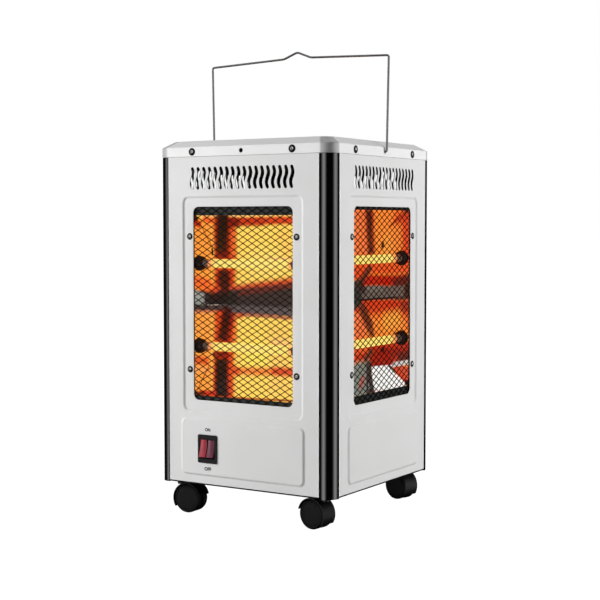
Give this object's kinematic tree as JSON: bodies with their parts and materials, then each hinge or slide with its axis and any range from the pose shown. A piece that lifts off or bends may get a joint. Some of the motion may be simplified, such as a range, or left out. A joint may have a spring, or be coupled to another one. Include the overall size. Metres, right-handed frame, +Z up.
{
  "type": "quartz heater",
  "caption": "Square cabinet quartz heater with a guarded glowing window in each side and in its top, a folding wire handle, rocker switches and swivelling twin-wheel casters.",
  "frame": {"origin": "on the floor, under the middle of the cabinet", "axes": "+Z up, -Y towards the front with the switches, +X towards the right-hand side"},
  "size_m": [0.2932, 0.2947, 0.6403],
  "materials": {
    "panel": "satin off-white enamel",
    "cover": "satin off-white enamel",
    "post": "gloss black",
    "base": "black enamel",
    "guard": "matt black heat-proof paint",
    "reflector": "bright rolled sheet",
    "quartz": "milky quartz, glowing",
    "black_plastic": "satin black",
    "rocker": "clear red",
    "terminal": "matt ceramic",
    "wire": "bright plated wire",
    "steel": "zinc plated"
  },
  "bodies": {
    "cabinet": {"front_panel": "panel", "front_guard": "guard", "front_reflector": "reflector", "front_lower_tube": "quartz", "front_upper_tube": "quartz", "right_panel": "panel", "right_guard": "guard", "right_reflector": "reflector", "right_lower_tube": "quartz", "right_upper_tube": "quartz", "rear_panel": "panel", "rear_guard": "guard", "rear_reflector": "reflector", "rear_lower_tube": "quartz", "rear_upper_tube": "quartz", "left_panel": "panel", "left_guard": "guard", "left_reflector": "reflector", "left_lower_tube": "quartz", "left_upper_tube": "quartz", "front_right_post": "post", "rear_right_post": "post", "rear_left_post": "post", "front_left_post": "post", "base_tray": "base", "top_cover": "cover", "top_guard": "guard", "top_reflector": "reflector", "top_front_tube": "quartz", "top_rear_tube": "quartz", "switch_housing": "black_plastic", "tip_over_switch": "black_plastic", "terminal_block": "terminal", "cord_gland": "black_plastic", "front_right_caster_plate": "steel", "front_left_caster_plate": "steel", "rear_left_caster_plate": "steel", "rear_right_caster_plate": "steel"},
    "handle": {"handle": "wire"},
    "left_rocker": {"left_rocker": "rocker"},
    "right_rocker": {"right_rocker": "rocker"},
    "front_right_caster": {"front_right_caster_hood": "black_plastic", "front_right_axle": "steel"},
    "front_right_wheel_a": {"front_right_wheel_a": "black_plastic"},
    "front_right_wheel_b": {"front_right_wheel_b": "black_plastic"},
    "front_left_caster": {"front_left_caster_hood": "black_plastic", "front_left_axle": "steel"},
    "front_left_wheel_a": {"front_left_wheel_a": "black_plastic"},
    "front_left_wheel_b": {"front_left_wheel_b": "black_plastic"},
    "rear_left_caster": {"rear_left_caster_hood": "black_plastic", "rear_left_axle": "steel"},
    "rear_left_wheel_a": {"rear_left_wheel_a": "black_plastic"},
    "rear_left_wheel_b": {"rear_left_wheel_b": "black_plastic"},
    "rear_right_caster": {"rear_right_caster_hood": "black_plastic", "rear_right_axle": "steel"},
    "rear_right_wheel_a": {"rear_right_wheel_a": "black_plastic"},
    "rear_right_wheel_b": {"rear_right_wheel_b": "black_plastic"}
  },
  "joints": [
    {"name": "handle_fold", "type": "hinge", "parent": "cabinet", "child": "handle", "pos_m": [0, 0, 0.4965], "axis": [1, 0, 0], "range_deg": [-82, 82]},
    {"name": "left_rocker_tip", "type": "hinge", "parent": "cabinet", "child": "left_rocker", "pos_m": [-0.0601, -0.1415, 0.095], "axis": [1, 0, 0], "range_deg": [0, 25]},
    {"name": "right_rocker_tip", "type": "hinge", "parent": "cabinet", "child": "right_rocker", "pos_m": [-0.0479, -0.1415, 0.095], "axis": [1, 0, 0], "range_deg": [0, 25]},
    {"name": "front_right_swivel", "type": "hinge", "parent": "cabinet", "child": "front_right_caster", "pos_m": [0.1165, -0.1165, 0.042], "axis": [0, 0, 1], "continuous": true},
    {"name": "front_right_wheel_a_spin", "type": "hinge", "parent": "front_right_caster", "child": "front_right_wheel_a", "pos_m": [0.10165, -0.11441, 0.01975], "axis": [-0.1392, -0.9903, 0], "continuous": true},
    {"name": "front_right_wheel_b_spin", "type": "hinge", "parent": "front_right_caster", "child": "front_right_wheel_b", "pos_m": [0.10165, -0.11441, 0.01975], "axis": [-0.1392, -0.9903, 0], "continuous": true},
    {"name": "front_left_swivel", "type": "hinge", "parent": "cabinet", "child": "front_left_caster", "pos_m": [-0.1165, -0.1165, 0.042], "axis": [0, 0, 1], "continuous": true},
    {"name": "front_left_wheel_a_spin", "type": "hinge", "parent": "front_left_caster", "child": "front_left_wheel_a", "pos_m": [-0.10152, -0.11571, 0.01975], "axis": [-0.0523, 0.9986, 0], "continuous": true},
    {"name": "front_left_wheel_b_spin", "type": "hinge", "parent": "front_left_caster", "child": "front_left_wheel_b", "pos_m": [-0.10152, -0.11571, 0.01975], "axis": [-0.0523, 0.9986, 0], "continuous": true},
    {"name": "rear_left_swivel", "type": "hinge", "parent": "cabinet", "child": "rear_left_caster", "pos_m": [-0.1165, 0.1165, 0.042], "axis": [0, 0, 1], "continuous": true},
    {"name": "rear_left_wheel_a_spin", "type": "hinge", "parent": "rear_left_caster", "child": "rear_left_wheel_a", "pos_m": [-0.1024, 0.12163, 0.01975], "axis": [-0.342, 0.9397, 0], "continuous": true},
    {"name": "rear_left_wheel_b_spin", "type": "hinge", "parent": "rear_left_caster", "child": "rear_left_wheel_b", "pos_m": [-0.1024, 0.12163, 0.01975], "axis": [-0.342, 0.9397, 0], "continuous": true},
    {"name": "rear_right_swivel", "type": "hinge", "parent": "cabinet", "child": "rear_right_caster", "pos_m": [0.1165, 0.1165, 0.042], "axis": [0, 0, 1], "continuous": true},
    {"name": "rear_right_wheel_a_spin", "type": "hinge", "parent": "rear_right_caster", "child": "rear_right_wheel_a", "pos_m": [0.10201, 0.12038, 0.01975], "axis": [-0.2588, -0.9659, 0], "continuous": true},
    {"name": "rear_right_wheel_b_spin", "type": "hinge", "parent": "rear_right_caster", "child": "rear_right_wheel_b", "pos_m": [0.10201, 0.12038, 0.01975], "axis": [-0.2588, -0.9659, 0], "continuous": true}
  ]
}
